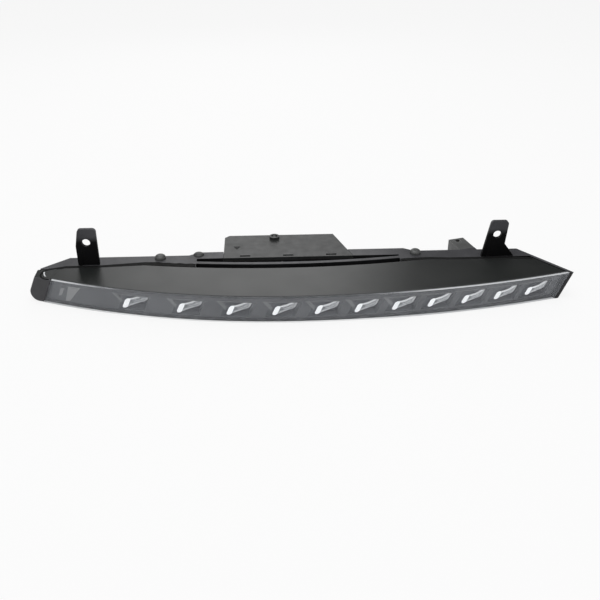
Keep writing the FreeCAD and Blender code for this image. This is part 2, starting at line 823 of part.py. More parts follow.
def make_lens_seal(doc, dims):
    """Gasket frame between the lens and the front edges behind it."""
    body = new_body(doc, "lens_seal")
    sketch = new_sketch(body, "strip", "XY_Plane", dims.base)
    bow_band(sketch, dims, dims.lens_wall, dims.front_edge, -dims.left_end - dims.cap_length,
             dims.right_tip + dims.cap_length)
    extrude(body, "Pad", sketch, dims.lamp_height)
    trim_left(body, dims, dims.cap_length + dims.fit)
    trim_right(body, dims, dims.end_wall + dims.fit)
    sketch = new_sketch(body, "window", "XZ_Plane")
    left = dims.cap_length + 2 * dims.seal_wall - dims.left_end
    right = dims.right_tip - 2 * dims.end_wall - dims.seal_wall
    outline(sketch, [
        (raked(dims, left, dims.floor_top), dims.floor_top),
        (raked(dims, right, dims.floor_top), dims.floor_top),
        (raked(dims, right, dims.panel_under), dims.panel_under),
        (raked(dims, left, dims.panel_under), dims.panel_under),
    ])
    extrude(body, "Pocket", sketch, both=True)
    return body


def make_end_cap(doc, dims):
    """Opaque cap over the left end, with a socket for the housing's tongue."""
    body = new_body(doc, "end_cap")
    sketch = new_sketch(body, "block", "XY_Plane", dims.base)
    left = -dims.left_end - dims.cap_length
    right = 2 * dims.cap_length - dims.left_end
    back = -dims.cap_back - dims.fit
    outline(sketch, [
        (left, bow_y(dims, left, 0)),
        (right, bow_y(dims, right, 0)),
        (right, back),
        (left, back),
    ], {0: dims.bow_left})
    extrude(body, "Pad", sketch, dims.lamp_height)
    trim_left(body, dims, 0)
    sketch = new_sketch(body, "joint", "XZ_Plane")
    start = dims.cap_length - dims.left_end - dims.fit
    low, high = dims.base - dims.fit, dims.deck + dims.fit
    outline(sketch, [
        (raked(dims, start, low), low),
        (start + BEYOND, low),
        (start + BEYOND, high),
        (raked(dims, start, high), high),
    ])
    extrude(body, "Pocket", sketch, both=True)
    left, right, front, back, low, high = tongue(dims)
    sketch = new_sketch(body, "socket", "XY_Plane", low - dims.fit)
    rectangle(sketch, left - dims.fit, right + dims.cap_length, front - dims.fit, back + dims.fit)
    extrude(body, "Pocket", sketch, high - low + 2 * dims.fit, reverse=True)
    corner_z = dims.base.value
    corner_x = raked(dims, -dims.left_end, dims.base).value
    round_edges(body, dims.cap_corner, lambda edge: runs_along(edge, Vector(0, 1, 0))
                and abs(edge.CenterOfMass.z - corner_z) < 0.01
                and abs(edge.CenterOfMass.x - corner_x) < 0.01)
    return body


def duct_plan(dims, x, y, wall):
    """Plan of the wedge-shaped duct round a light guide, deep at its right end."""
    slope = dims.guide_across / dims.guide_depth
    left = x - dims.duct_left - 2 * wall
    back = y + dims.guide_depth
    ahead = y - dims.guide_depth - dims.duct_right / 4
    return [
        (left, ahead),
        (x + dims.duct_right + wall, ahead),
        (x + dims.duct_right + wall, back),
        (left + slope * dims.guide_depth, back),
        (left, y),
    ]


def make_bezel(doc, dims):
    """Strip behind the lens with one slanted, wedge-shaped duct round each light guide."""
    body = new_body(doc, "bezel")
    low, high = dims.floor_top + dims.fit, dims.panel_under - dims.fit
    sketch = new_sketch(body, "strip", "XY_Plane", low)
    bow_band(sketch, dims, dims.bezel_front, dims.bezel_front + dims.bezel_wall,
             -dims.left_end - dims.cap_length, dims.right_tip + dims.cap_length)
    extrude(body, "Pad", sketch, high - low)
    trim_left(body, dims, dims.cap_length + dims.fit)
    trim_right(body, dims, dims.end_wall + dims.fit)
    way = dims.lean, 0, 1
    for number, (x, y) in enumerate(optic_places(dims), start=1):
        below = dims.duct_below + dims.duct_wall
        sketch = new_sketch(body, f"duct_{number}", "XY_Plane", dims.optic_z - below,
                            at=(-below * dims.lean, 0))
        outline(sketch, duct_plan(dims, x, y, dims.duct_wall))
        extrude(body, "Pad", sketch, below + dims.duct_above + dims.duct_wall, along=way)
    trim_front(body, dims, dims.bezel_front)
    for number, (x, y) in enumerate(optic_places(dims), start=1):
        below = dims.duct_below
        sketch = new_sketch(body, f"opening_{number}", "XY_Plane", dims.optic_z - below,
                            at=(-below * dims.lean, 0))
        corners = duct_plan(dims, x, y, as_size(0))
        corners[2] = (corners[2][0], corners[2][1] + dims.fit)
        corners[3] = (corners[3][0], corners[3][1] + dims.fit)
        outline(sketch, corners)
        extrude(body, "Pocket", sketch, below + dims.duct_above, along=way)
    return body


def make_optic(doc, dims, number, x, y):
    """Clear light guide: a slanted bar that runs back to its light source and ends in a flange."""
    body = new_body(doc, f"optic_{number:02d}")
    half = dims.optic_height / 2
    lean = half * dims.lean
    wide = dims.optic_width / 2
    sketch = new_sketch(body, "bar", "XZ_Plane")
    outline(sketch, [(-wide - lean, -half), (wide - lean, -half), (wide + lean, half), (lean - wide, half)])
    extrude(body, "Pad", sketch, dims.guide_depth + dims.flange_wall, reverse=True,
            along=(-dims.guide_across, -dims.guide_depth, 0))
    sketch = new_sketch(body, "flange", "XZ_Plane", -dims.guide_depth - dims.fit)
    low, high = -dims.duct_below - dims.duct_wall, dims.duct_above + dims.duct_wall
    left = dims.guide_across - dims.duct_left - 2 * dims.duct_wall
    right = dims.duct_right + dims.duct_wall
    outline(sketch, [
        (left + low * dims.lean, low),
        (right + low * dims.lean, low),
        (right + high * dims.lean, high),
        (left + high * dims.lean, high),
    ])
    extrude(body, "Pad", sketch, dims.flange_wall - dims.fit, reverse=True)
    bind(body, "Placement.Base.x", x)
    bind(body, "Placement.Base.y", y)
    bind(body, "Placement.Base.z", dims.optic_z)
    return body


def make_led(doc, dims, number, x):
    """Light source on the strip board, square with a round window."""
    body = new_body(doc, f"led_{number:02d}")
    half = dims.led_size / 2
    sketch = new_sketch(body, "case", "XZ_Plane")
    rectangle(sketch, -half, half, -half, half)
    extrude(body, "Pad", sketch, 3 * dims.led_height / 4)
    sketch = new_sketch(body, "window", "XZ_Plane")
    circle(sketch, 0, 0, dims.led_size - 2 * dims.fit)
    extrude(body, "Pad", sketch, dims.led_height)
    radius = dims.bow_left if x.value < 0 else dims.bow_right
    bind(body, "Placement.Base.x", x + dims.guide_across)
    bind(body, "Placement.Base.y", bow_y(dims, x, dims.strip_depth))
    bind(body, "Placement.Base.z", dims.optic_z)
    body.Placement = FreeCAD.Placement(body.Placement.Base, FreeCAD.Rotation(Vector(0, 0, 1), 1))
    bind(body, "Placement.Rotation.Angle", arc_sine(x / (radius - dims.strip_depth)))
    return body


def strip_ends(dims):
    """Left and right end of the strip board."""
    places = optic_places(dims)
    return (places[0][0] + dims.guide_across - 3 * dims.led_size,
            places[-1][0] + dims.guide_across + dims.led_size / 2)


def make_led_board(doc, dims):
    """Bowed strip board, parallel to the row of light sources."""
    body = new_body(doc, "led_board")
    left, right = strip_ends(dims)
    sketch = new_sketch(body, "strip", "XY_Plane", dims.optic_z - dims.strip_height / 2)
    bow_band(sketch, dims, dims.strip_depth, dims.strip_depth + dims.board_wall, left, right,
             dims.guide_across)
    extrude(body, "Pad", sketch, dims.strip_height)
    return body


def ribbon_ends(dims):
    """Left, right, front and back of the flat lead between the boards."""
    left = -3 * dims.ribbon_width / 4
    front = bow_y(dims, left, dims.strip_depth + dims.board_wall, dims.guide_across) + dims.fit
    board_front = board_plan(dims)[2]
    return left, left + dims.ribbon_width, front, board_front + dims.ribbon_width / 2


def make_heat_spreader(doc, dims):
    """Bowed aluminium strip that stands on the floor behind the strip board."""
    body = new_body(doc, "heat_spreader")
    left, right = strip_ends(dims)
    front = dims.strip_depth + dims.board_wall
    low = dims.floor_top
    sketch = new_sketch(body, "strip", "XY_Plane", low)
    bow_band(sketch, dims, front, front + dims.spreader_wall, left - dims.led_size,
             right - 3 * dims.led_size, dims.guide_across)
    extrude(body, "Pad", sketch, dims.optic_z + dims.strip_height / 2 + dims.fit - low)
    left, right, front, back = ribbon_ends(dims)
    sketch = new_sketch(body, "notch", "XZ_Plane")
    middle = dims.board_top + dims.ribbon_wall / 2
    rectangle(sketch, left - dims.fit, right + dims.fit, middle - dims.ribbon_room / 2,
              middle + dims.ribbon_room / 2)
    extrude(body, "Pocket", sketch, both=True)
    return body


def make_led_lead(doc, dims):
    """Flat lead from the regulator's board to the strip board."""
    body = new_body(doc, "led_lead")
    sketch = new_sketch(body, "ribbon", "XY_Plane", dims.board_top)
    rectangle(sketch, *ribbon_ends(dims))
    extrude(body, "Pad", sketch, dims.ribbon_wall)
    return body


def make_supply_lead(doc, dims):
    """Round lead from the connector to the bay."""
    body = new_body(doc, "supply_lead")
    start = bay_slope(dims, dims.lead_y) - dims.bay_wall
    sketch = new_sketch(body, "core", "YZ_Plane", start - dims.board_margin)
    circle(sketch, dims.lead_y, dims.deck - dims.lead_drop, dims.lead_across)
    end = dims.plug_x - dims.plug_width / 2 + dims.plug_wall
    extrude(body, "Pad", sketch, end - start + dims.board_margin)
    return body


def make_driver_cover(doc, dims):
    """Plate over the electronics bay with a screw boss and three latch windows."""
    body = new_body(doc, "driver_cover")
    sketch = new_sketch(body, "plate", "XY_Plane", dims.cover_under)
    outline(sketch, bay_plan(dims, as_size(0)))
    extrude(body, "Pad", sketch, dims.cover_wall)
    sketch = new_sketch(body, "boss", "XY_Plane", dims.deck)
    circle(sketch, *boss_place(dims), dims.boss_across)
    extrude(body, "Pad", sketch, dims.boss_height)
    sketch = new_sketch(body, "boss_bore", "XY_Plane", dims.deck + dims.boss_height)
    circle(sketch, *boss_place(dims), dims.rim_screw_shank + 2 * dims.fit + dims.cover_wall / 2)
    extrude(body, "Pocket", sketch, dims.boss_height)
    sketch = new_sketch(body, "boss_hole", "XY_Plane", dims.deck)
    circle(sketch, *boss_place(dims), dims.rim_screw_shank + dims.fit)
    extrude(body, "Pocket", sketch)
    sketch = new_sketch(body, "latch_windows", "XY_Plane", dims.deck)
    middle = (bay_slope(dims, dims.bay_front) - dims.bay_left) / 2
    step = (dims.bay_left + bay_slope(dims, dims.bay_front)) / 3
    front = dims.bay_front + dims.cover_wall
    for x in (middle - step, middle, middle + step):
        rectangle(sketch, x - dims.window_width / 2, x + dims.window_width / 2, front,
                  front + dims.window_depth)
    extrude(body, "Pocket", sketch, dims.cover_wall / 2)
    return body


def make_cover_seal(doc, dims):
    """Gasket between the bay's rim and its cover."""
    body = new_body(doc, "cover_seal")
    sketch = new_sketch(body, "frame", "XY_Plane", dims.bay_rim)
    outline(sketch, bay_plan(dims, as_size(0)))
    extrude(body, "Pad", sketch, dims.cover_seal_wall)
    sketch = new_sketch(body, "opening", "XY_Plane", dims.bay_rim)
    outline(sketch, bay_plan(dims, dims.bay_wall))
    extrude(body, "Pocket", sketch, reverse=True)
    return body


def make_driver_board(doc, dims):
    """Board of the current regulator, on the four posts of the bay."""
    body = new_body(doc, "driver_board")
    sketch = new_sketch(body, "plate", "XY_Plane", dims.board_z)
    left, right, front, back = board_plan(dims)
    rectangle(sketch, left, right, front, back)
    for x, y in post_places(dims):
        circle(sketch, x, y, dims.board_screw_shank + dims.fit)
    extrude(body, "Pad", sketch, dims.board_wall)
    sketch = new_sketch(body, "column_notch", "XY_Plane", dims.board_top)
    circle(sketch, *boss_place(dims), dims.boss_across + dims.fit)
    extrude(body, "Pocket", sketch)
    return body


def make_screws(doc, name, places, seat, sizes):
    """Group of like screws, each a round head on a shank, with their heads seated at one level."""
    head, dome, shank, length = sizes
    screws = []
    for number, (x, y) in enumerate(places, start=1):
        rod = doc.addObject("Part::Cylinder", f"{name}_{number}_shank")
        bind(rod, "Radius", shank / 2)
        bind(rod, "Height", length + dome / 4)
        cap = doc.addObject("Part::Cylinder", f"{name}_{number}_head")
        bind(cap, "Radius", head / 2)
        bind(cap, "Height", dome)
        bind(rod, "Placement.Base.z", seat - length)
        bind(cap, "Placement.Base.z", seat)
        for piece in (rod, cap):
            bind(piece, "Placement.Base.x", x)
            bind(piece, "Placement.Base.y", y)
        doc.recompute()
        top = [f"Edge{index}" for index, edge in enumerate(cap.Shape.Edges, start=1)
               if abs(edge.CenterOfMass.z - (seat + dome).value) < 0.01]
        rounded = doc.addObject("Part::Fillet", f"{name}_{number}_dome")
        rounded.Base = cap
        radius = min(dome.value, head.value / 2) * 0.8
        rounded.Edges = [(int(edge[4:]), radius, radius) for edge in top]
        screw = doc.addObject("Part::Fuse", f"{name}_{number}")
        screw.Base = rounded
        screw.Tool = rod
        screws.append(screw)
    if len(screws) == 1:
        screws[0].Label = name
        return screws[0]
    group = doc.addObject("Part::Compound", name)
    group.Links = screws
    group.Label = name
    return group


def make_component(doc, dims, name, across, height, places):
    """Round components that stand on the regulator's board."""
    pieces = []
    for number, (x, y) in enumerate(places, start=1):
        piece = doc.addObject("Part::Cylinder", f"{name}_{number}")
        bind(piece, "Radius", across / 2)
        bind(piece, "Height", height)
        bind(piece, "Placement.Base.x", x)
        bind(piece, "Placement.Base.y", y)
        bind(piece, "Placement.Base.z", dims.board_top)
        pieces.append(piece)
    if len(pieces) == 1:
        pieces[0].Label = name
        return pieces[0]
    group = doc.addObject("Part::Compound", name)
    group.Links = pieces
    group.Label = name
    return group


def make_components(doc, dims):
    """Choke, capacitors and regulator chip on the board in the bay."""
    left, right, front, back = board_plan(dims)
    room = dims.bay_rim - dims.board_top
    middle = (front + back) / 2
    choke = make_component(doc, dims, "driver_choke", room, 3 * room / 4,
                           [(left + 1.5 * room, middle)])
    step = 3 * room / 4
    capacitors = make_component(doc, dims, "driver_capacitors", room / 2, 4 * room / 5,
                                [(right - step, middle - step / 2), (right - step, middle + step / 2)])
    chip = doc.addObject("Part::Box", "driver_chip")
    chip.Label = "driver_chip"
    bind(chip, "Length", room)
    bind(chip, "Width", room * 0.8)
    bind(chip, "Height", dims.board_wall)
    bind(chip, "Placement.Base.x", (left + right) / 2 + room / 2)
    bind(chip, "Placement.Base.y", middle - room * 0.4)
    bind(chip, "Placement.Base.z", dims.board_top)
    return [choke, capacitors, chip]


def place_plug(body, dims):
    body.Placement = FreeCAD.Placement(Vector(), FreeCAD.Rotation(Vector(0, 0, 1), 1))
    bind(body, "Placement.Base.x", dims.plug_x)
    bind(body, "Placement.Base.y", dims.plug_y)
    bind(body, "Placement.Base.z", dims.deck)
    bind(body, "Placement.Rotation.Angle", dims.plug_turn)


def make_connector_socket(doc, dims):
    """Rectangular shroud with a latch window, on a spigot that goes into the housing's seat."""
    body = new_body(doc, "connector_socket")
    half = dims.plug_width / 2
    sketch = new_sketch(body, "shroud", "XZ_Plane")
    rectangle(sketch, -half, half, -dims.plug_height, 0)
    extrude(body, "Pad", sketch, dims.plug_length, reverse=True)
    sketch = new_sketch(body, "spigot", "XZ_Plane")
    inset = dims.spigot_inset
    rectangle(sketch, inset - half, half - inset, inset - dims.plug_height, -inset)
    extrude(body, "Pad", sketch, dims.spigot_length)
    sketch = new_sketch(body, "cavity", "XZ_Plane", -dims.plug_length)
    wall = dims.plug_wall
    rectangle(sketch, wall - half, half - wall, wall - dims.plug_height, -wall)
    extrude(body, "Pocket", sketch, dims.plug_cavity, reverse=True)
    sketch = new_sketch(body, "latch", "XY_Plane")
    middle = dims.plug_length - dims.latch_size
    rectangle(sketch, -dims.latch_size / 2, dims.latch_size / 2, middle - dims.latch_size / 2,
              middle + dims.latch_size / 2)
    extrude(body, "Pocket", sketch, 2 * wall)
    place_plug(body, dims)
    return body


def make_connector_pins(doc, dims):
    """Contacts that stand in the socket's back wall."""
    pins = []
    back = dims.plug_length - dims.plug_cavity
    for number, side in enumerate((-1, 1), start=1):
        body = doc.addObject("Part::Box", f"connector_pin_{number}")
        bind(body, "Length", dims.pin_size)
        bind(body, "Width", dims.pin_length)
        bind(body, "Height", dims.pin_size)
        bind(body, "Placement.Base.x", side * dims.pin_pitch / 2 - dims.pin_size / 2)
        bind(body, "Placement.Base.y", back)
        bind(body, "Placement.Base.z", -dims.plug_height / 2 - dims.pin_size / 2)
        pins.append(body)
    group = doc.addObject("Part::Compound", "connector_pins")
    group.Links = pins
    group.Label = "connector_pins"
    place_plug(group, dims)
    return group


def make_vent_plug(doc, dims):
    """Breather with a round cap on the back wall of the bay."""
    body = new_body(doc, "vent_plug")
    level = (dims.bay_rim + dims.base) / 2
    sketch = new_sketch(body, "stem", "XZ_Plane", dims.bay_wall - dims.bay_back)
    circle(sketch, -dims.vent_left, level, dims.vent_stem)
    extrude(body, "Pad", sketch, dims.bay_wall + dims.vent_cap / 2, reverse=True)
    sketch = new_sketch(body, "cap", "XZ_Plane", -dims.bay_back)
    circle(sketch, -dims.vent_left, level, dims.vent_across)
    extrude(body, "Pad", sketch, dims.vent_cap, reverse=True)
    return body


def make_pieces(doc, dims):
    pieces = [
        make_housing(doc, dims),
        make_top_panel(doc, dims),
        make_lens(doc, dims),
        make_lens_seal(doc, dims),
        make_end_cap(doc, dims),
        make_bezel(doc, dims),
        make_led_board(doc, dims),
        make_heat_spreader(doc, dims),
        make_led_lead(doc, dims),
        make_supply_lead(doc, dims),
        make_driver_cover(doc, dims),
        make_cover_seal(doc, dims),
        make_driver_board(doc, dims),
        make_connector_socket(doc, dims),
        make_connector_pins(doc, dims),
        make_vent_plug(doc, dims),
    ]
    for number, (x, y) in enumerate(optic_places(dims), start=1):
        pieces.append(make_optic(doc, dims, number, x, y))
        pieces.append(make_led(doc, dims, number, x))
    pieces += make_components(doc, dims)
    rim_sizes = dims.rim_screw_head, dims.rim_screw_dome, dims.rim_screw_shank, dims.rim_screw_length
    pieces.append(make_screws(doc, "rim_screws", rim_screw_places(dims), dims.deck, rim_sizes))
    cover_sizes = (dims.rim_screw_shank + dims.cover_wall / 2, dims.boss_height,
                   dims.rim_screw_shank, dims.rim_screw_length)
    pieces.append(make_screws(doc, "cover_screw", [boss_place(dims)], dims.deck, cover_sizes))
    board_sizes = (dims.board_screw_head, dims.board_wall, dims.board_screw_shank,
                   dims.board_screw_length)
    pieces.append(make_screws(doc, "board_screws", post_places(dims), dims.board_top, board_sizes))
    return pieces


def check(doc, pieces):
    """Stop if a feature failed, a cut took nothing away or a piece is not sound."""
    for item in doc.Objects:
        if "Invalid" in item.State or "Error" in item.State:
            raise RuntimeError(f"{item.Label} failed: {item.State}")
        if item.TypeId == "PartDesign::Pocket" and item.BaseFeature:
            if item.Shape.Volume >= item.BaseFeature.Shape.Volume - 1e-6:
                raise RuntimeError(f"{item.Label} cuts nothing")
    for piece in pieces:
        if piece.Shape.isNull() or not piece.Shape.isValid():
            raise RuntimeError(f"{piece.Label} is not a sound solid")


def main():
    doc = FreeCAD.newDocument("indicator_lamp")
    dims = make_sheet(doc)
    pieces = make_pieces(doc, dims)
    doc.recompute()
    check(doc, pieces)
    os.makedirs("parts", exist_ok=True)
    for piece in pieces:
        piece.Shape.exportStep(f"parts/{piece.Label}.step")
        box = piece.Shape.BoundBox
        print(f"{piece.Label}: {len(piece.Shape.Solids)} solids, {piece.Shape.Volume:.0f} mm3, "
              f"x {box.XMin:.1f}..{box.XMax:.1f} y {box.YMin:.1f}..{box.YMax:.1f} "
              f"z {box.ZMin:.1f}..{box.ZMax:.1f}")


main()
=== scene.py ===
import json
import math

import bmesh
import bpy
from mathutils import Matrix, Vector


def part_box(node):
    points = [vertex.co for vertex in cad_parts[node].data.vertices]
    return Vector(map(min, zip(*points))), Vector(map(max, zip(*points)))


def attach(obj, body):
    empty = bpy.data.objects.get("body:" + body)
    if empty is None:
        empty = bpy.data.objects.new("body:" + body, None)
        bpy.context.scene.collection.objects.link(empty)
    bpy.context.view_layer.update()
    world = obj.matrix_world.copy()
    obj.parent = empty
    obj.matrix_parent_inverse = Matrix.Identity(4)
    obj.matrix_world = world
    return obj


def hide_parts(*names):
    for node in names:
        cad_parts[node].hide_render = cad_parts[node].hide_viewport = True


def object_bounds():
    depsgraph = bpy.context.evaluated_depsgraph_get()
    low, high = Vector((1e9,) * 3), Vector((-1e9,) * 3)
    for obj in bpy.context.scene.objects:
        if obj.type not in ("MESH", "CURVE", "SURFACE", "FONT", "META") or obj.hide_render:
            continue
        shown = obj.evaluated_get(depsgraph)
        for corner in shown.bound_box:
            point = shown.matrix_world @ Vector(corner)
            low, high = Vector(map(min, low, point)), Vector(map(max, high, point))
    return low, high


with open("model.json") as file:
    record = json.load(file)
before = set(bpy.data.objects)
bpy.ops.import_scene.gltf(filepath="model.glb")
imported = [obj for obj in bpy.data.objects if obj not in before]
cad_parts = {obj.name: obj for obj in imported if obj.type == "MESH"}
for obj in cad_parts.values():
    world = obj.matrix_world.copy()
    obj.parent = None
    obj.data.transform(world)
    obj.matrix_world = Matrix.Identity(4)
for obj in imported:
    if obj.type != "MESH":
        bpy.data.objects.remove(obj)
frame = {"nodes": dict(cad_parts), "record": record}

nodes = frame["nodes"]
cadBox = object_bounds()
slotOf = {part["node"]: part["material_slot"] for part in frame["record"]["subparts"]}
print("frame loaded, nodes:", len(nodes))


# small helpers for the node trees, everything is placed in the object's own metres
def startMaterial(name):
    mat = bpy.data.materials.new(name)
    mat.use_nodes = True
    tree = mat.node_tree
    place = tree.nodes.new("ShaderNodeTexCoord")
    return mat, tree, tree.nodes["Principled BSDF"], place


def addNoise(tree, place, scale, detail=2.0):
    noise = tree.nodes.new("ShaderNodeTexNoise")
    noise.inputs["Scale"].default_value = scale
    noise.inputs["Detail"].default_value = detail
    tree.links.new(place, noise.inputs["Vector"])
    return noise.outputs["Fac"]


def addRamp(tree, source, stops):
    ramp = tree.nodes.new("ShaderNodeValToRGB")
    parts = ramp.color_ramp.elements
    parts[0].position, parts[1].position = stops[0][0], stops[-1][0]
    parts[0].color, parts[1].color = (*stops[0][1], 1.0), (*stops[-1][1], 1.0)
    for spot, colour in stops[1:-1]:
        parts.new(spot).color = (*colour, 1.0)
    tree.links.new(source, ramp.inputs["Fac"])
    return ramp.outputs["Color"]


def addRange(tree, source, low, high, start=0.3, stop=0.7):
    node = tree.nodes.new("ShaderNodeMapRange")
    for key, value in (("From Min", start), ("From Max", stop), ("To Min", low), ("To Max", high)):
        node.inputs[key].default_value = value
    tree.links.new(source, node.inputs["Value"])
    return node.outputs["Result"]


def addMath(tree, kind, first, second):
    node = tree.nodes.new("ShaderNodeMath")
    node.operation = kind
    for socket, value in zip(node.inputs, (first, second)):
        if isinstance(value, (int, float)):
            socket.default_value = value
        else:
            tree.links.new(value, socket)
    return node.outputs["Value"]


def addParts(tree, source):
    node = tree.nodes.new("ShaderNodeSeparateXYZ")
    tree.links.new(source, node.inputs["Vector"])
    return node.outputs["X"], node.outputs["Y"], node.outputs["Z"]


def addBump(tree, shader, source, depth, strength):
    bump = tree.nodes.new("ShaderNodeBump")
    bump.inputs["Strength"].default_value = strength
    bump.inputs["Distance"].default_value = depth
    tree.links.new(source, bump.inputs["Height"])
    tree.links.new(bump.outputs["Normal"], shader.inputs["Normal"])


# a moulded, painted or metal surface: slow tone changes, uneven gloss and a fine grain
def grainedSurface(name, look):
    mat, tree, shader, place = startMaterial(name)
    spot = place.outputs["Object"]
    tone = addRamp(tree, addNoise(tree, spot, look["patch"]), [(0.35, look["dark"]), (0.65, look["light"])])
    if "painted_top_light" in look:  # upper parts, or faces that look up, are painted lighter: painted light from above and painted shade lower down
        kind, low, high, gain = look["painted_top_light"]
        source = spot if kind == "level" else tree.nodes.new("ShaderNodeNewGeometry").outputs["Normal"]
        paintedLight = tree.nodes.new("ShaderNodeVectorMath")
        paintedLight.operation = "SCALE"
        tree.links.new(tone, paintedLight.inputs["Vector"])
        strength = addRange(tree, addParts(tree, source)[2], 1.0, gain, low, high)
        tree.links.new(strength, paintedLight.inputs["Scale"])
        tone = paintedLight.outputs["Vector"]
    tree.links.new(tone, shader.inputs["Base Color"])
    gloss = addRange(tree, addNoise(tree, spot, look["smudge"], 4.0), *look["rough"])
    tree.links.new(gloss, shader.inputs["Roughness"])
    addBump(tree, shader, addNoise(tree, spot, look["grain"], 3.0), look["depth"], look["bite"])
    shader.inputs["Metallic"].default_value = look.get("metal", 0.0)
    shader.inputs["Specular IOR Level"].default_value = look.get("shine", 0.5)
    return mat


edgeHighlightLook = dict(paler=1.7, smoother=0.85)


# an edge of the same stuff, painted lighter as a painted highlight where it catches light, and a little
# smoother
def paintedEdgeHighlight(name, look, highlight):
    dark, light = [[highlight["paler"] * c for c in look[key]] for key in ("dark", "light")]
    highlighted = dict(look, dark=dark, light=light, rough=[highlight["smoother"] * r for r in look["rough"]])
    return grainedSurface(name, highlighted)


surfaces = {
    # faces that look up are painted lighter, painted light from above
    "black_moulding": dict(dark=(0.006, 0.006, 0.0065), light=(0.012, 0.012, 0.013), patch=22, smudge=160,
                           grain=1900, depth=0.00008, bite=0.28, rough=(0.36, 0.48), shine=0.25,
                           painted_top_light=("facing", 0.7, 0.95, 6.5)),
    # the tabs are painted dark low down and lighter upwards, painted shade below and painted light on top
    "tab_moulding_painted_shade": dict(dark=(0.0022, 0.0022, 0.0024), light=(0.0044, 0.0044, 0.0047), patch=22,
                         smudge=160, grain=1900, depth=0.00008, bite=0.28, rough=(0.42, 0.55), shine=0.07,
                         painted_top_light=("level", 0.0005, 0.0055, 21.0)),
    "black_cover": dict(dark=(0.012, 0.013, 0.013), light=(0.022, 0.023, 0.023), patch=26, smudge=140,
                        grain=1700, depth=0.00008, bite=0.30, rough=(0.40, 0.50)),
    "black_connector": dict(dark=(0.070, 0.072, 0.071), light=(0.095, 0.097, 0.096), patch=60, smudge=220,
                            grain=1700, depth=0.00006, bite=0.30, rough=(0.38, 0.50)),
    "black_cap": dict(dark=(0.015, 0.0145, 0.017), light=(0.024, 0.0235, 0.027), patch=55, smudge=200,
                      grain=2100, depth=0.00006, bite=0.30, rough=(0.44, 0.54)),
    "vent_moulding": dict(dark=(0.035, 0.035, 0.036), light=(0.055, 0.055, 0.057), patch=80, smudge=250,
                          grain=1700, depth=0.00006, bite=0.30, rough=(0.45, 0.60)),
    "satin_panel": dict(dark=(0.010, 0.0115, 0.011), light=(0.014, 0.0155, 0.015), patch=9, smudge=34,
                        grain=900, depth=0.00002, bite=0.08, rough=(0.34, 0.40)),
    "grey_bezel": dict(dark=(0.070, 0.075, 0.081), light=(0.088, 0.093, 0.099), patch=30, smudge=120,
                       grain=2400, depth=0.00004, bite=0.20, rough=(0.34, 0.44)),
    "black_rubber": dict(dark=(0.010, 0.010, 0.010), light=(0.020, 0.020, 0.020), patch=70, smudge=240,
                         grain=1400, depth=0.00008, bite=0.35, rough=(0.70, 0.85)),
    "circuit_board": dict(dark=(0.020, 0.120, 0.050), light=(0.035, 0.170, 0.075), patch=90, smudge=260,
                          grain=1200, depth=0.00004, bite=0.25, rough=(0.35, 0.50)),
    "bare_aluminium": dict(dark=(0.66, 0.67, 0.68), light=(0.77, 0.78, 0.79), patch=40, smudge=300,
                           grain=1500, depth=0.00003, bite=0.20, rough=(0.28, 0.42), metal=1.0),
    "flat_lead": dict(dark=(0.62, 0.59, 0.50), light=(0.74, 0.71, 0.61), patch=80, smudge=240,
                      grain=1300, depth=0.00003, bite=0.20, rough=(0.40, 0.55)),
    "pin_brass": dict(dark=(0.70, 0.53, 0.24), light=(0.80, 0.63, 0.31), patch=120, smudge=320,
                      grain=1600, depth=0.00003, bite=0.20, rough=(0.25, 0.38), metal=1.0),
    "component_case": dict(dark=(0.020, 0.020, 0.021), light=(0.032, 0.032, 0.033), patch=120, smudge=300,
                           grain=1800, depth=0.00004, bite=0.25, rough=(0.45, 0.60)),
    "dark_steel": dict(dark=(0.060, 0.062, 0.061), light=(0.090, 0.092, 0.091), patch=140, smudge=320,
                       grain=1600, depth=0.00004, bite=0.25, rough=(0.40, 0.52), metal=0.4),
    "led_case": dict(dark=(0.70, 0.70, 0.64), light=(0.82, 0.82, 0.77), patch=150, smudge=320,
                     grain=1500, depth=0.00003, bite=0.20, rough=(0.35, 0.50)),
}
finish = {slot: grainedSurface(slot, look) for slot, look in surfaces.items()}
# paler copies for the rounded edges, painted highlights
edgeHighlightFinish = {slot: paintedEdgeHighlight(slot + "_edge", surfaces[slot], edgeHighlightLook)
              for slot in ("black_moulding", "black_cover", "black_connector", "black_cap", "grey_bezel")}
print("plain finishes made:", len(finish))

lensLook = dict(face=(0.47, 0.49, 0.53), cutHighlight=(0.80, 0.82, 0.84), faceAlpha=(0.11, 0.15), cutAlpha=0.85,
                rough=(0.04, 0.10), midLeft=-0.125, midRight=0.045, fade=0.07, upright=(0.55, 0.8), haze=28,
                smudge=150, ripple=60, depth=0.00003, bite=0.10, ior=1.5, shine=0.9)


